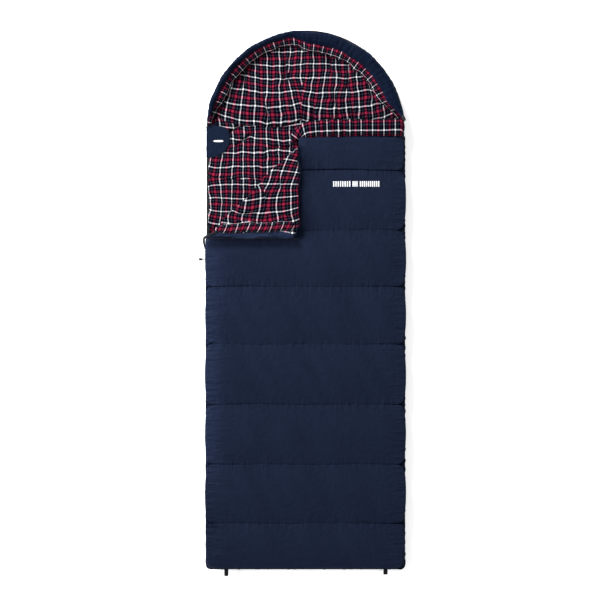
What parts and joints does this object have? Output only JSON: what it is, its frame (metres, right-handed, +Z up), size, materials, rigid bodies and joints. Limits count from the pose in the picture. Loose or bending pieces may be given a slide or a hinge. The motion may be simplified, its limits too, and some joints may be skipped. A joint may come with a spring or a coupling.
{
  "type": "rectangular sleeping bag",
  "caption": "Quilted rectangular sleeping bag with a half-round drawcord hood, flannel lining, side zip and a turned-down front corner.",
  "frame": {"origin": "centre of the flat underside that rests on the ground", "axes": "+Z up off the ground, +Y along the bag towards the hood, +X towards the closed long side, so the zip runs along -X"},
  "size_m": [0.9337, 2.464, 0.136],
  "materials": {
    "shell": "fine plain-weave polyester, faint sheen",
    "fill": "hollow-fibre wadding",
    "lining": "brushed flannel, tartan in white, red and navy-black",
    "cord": "braided cord",
    "eyelet": "black enamel",
    "lock_plastic": "moulded acetal",
    "spring_steel": "bright wire",
    "zip_tape": "woven tape",
    "zip_coil": "nylon coil",
    "zip_metal": "black enamel",
    "pull_rubber": "moulded soft grip",
    "webbing": "flat woven webbing",
    "patch": "woven patch",
    "white_thread": "satin stitch",
    "white_print": "screen print"
  },
  "bodies": {
    "bag": {"back_fill": "fill", "back_lining": "lining", "back_shell": "shell", "collar_cover": "lining", "collar_fill": "fill", "cord_lock_body": "lock_plastic", "cord_lock_spring": "spring_steel", "corner_patch": "patch", "draft_tube_front": "lining", "drawcord_eyelet": "eyelet", "drawcord_knot": "cord", "foot_seam": "shell", "front_fill": "fill", "front_lining": "lining", "front_shell": "shell", "hanging_loop_left": "webbing", "hanging_loop_right": "webbing", "hood_cord_channel": "shell", "hood_drawcord": "cord", "hood_rim_fill": "fill", "hood_rim_lining": "lining", "hood_rim_shell": "shell", "patch_mark": "white_thread", "printed_bars": "white_print", "side_seam": "shell", "zip_bottom_stop": "zip_metal", "zip_coil_back": "zip_coil", "zip_coil_front": "zip_coil", "zip_tape_back": "zip_tape", "zip_tape_front": "zip_tape", "zip_top_stop_back": "zip_metal"},
    "corner_flap": {"flap_shell": "shell", "flap_fill": "fill", "flap_lining": "lining", "draft_tube_flap": "lining", "zip_tape_flap": "zip_tape", "zip_coil_flap": "zip_coil", "zip_top_stop_flap": "zip_metal"},
    "zip_slider": {"zip_slider_body": "zip_metal"},
    "zip_pull": {"zip_pull_link": "zip_metal", "zip_pull_loop": "pull_rubber"},
    "lock_button": {"cord_lock_button": "lock_plastic"}
  },
  "joints": [
    {"name": "corner_fold", "type": "hinge", "parent": "bag", "child": "corner_flap", "pos_m": [-0.45, 0.275, 0.08225], "axis": [-0.7071, -0.7071, 0], "range_deg": [0, 180]},
    {"name": "slider_travel", "type": "slide", "parent": "bag", "child": "zip_slider", "axis": [0, -1, 0], "range_m": [0, 1.363]},
    {"name": "pull_swing", "type": "hinge", "parent": "zip_slider", "child": "zip_pull", "pos_m": [-0.4574, 0.184, 0.041], "axis": [0, 0, 1], "range_deg": [-70, 70]},
    {"name": "lock_press", "type": "slide", "parent": "bag", "child": "lock_button", "axis": [-0.4695, 0.8829, 0], "range_m": [0, 0.004], "stiffness_N_per_m": 400, "springref_m": -0.002, "deforming": ["cord_lock_spring"]}
  ]
}
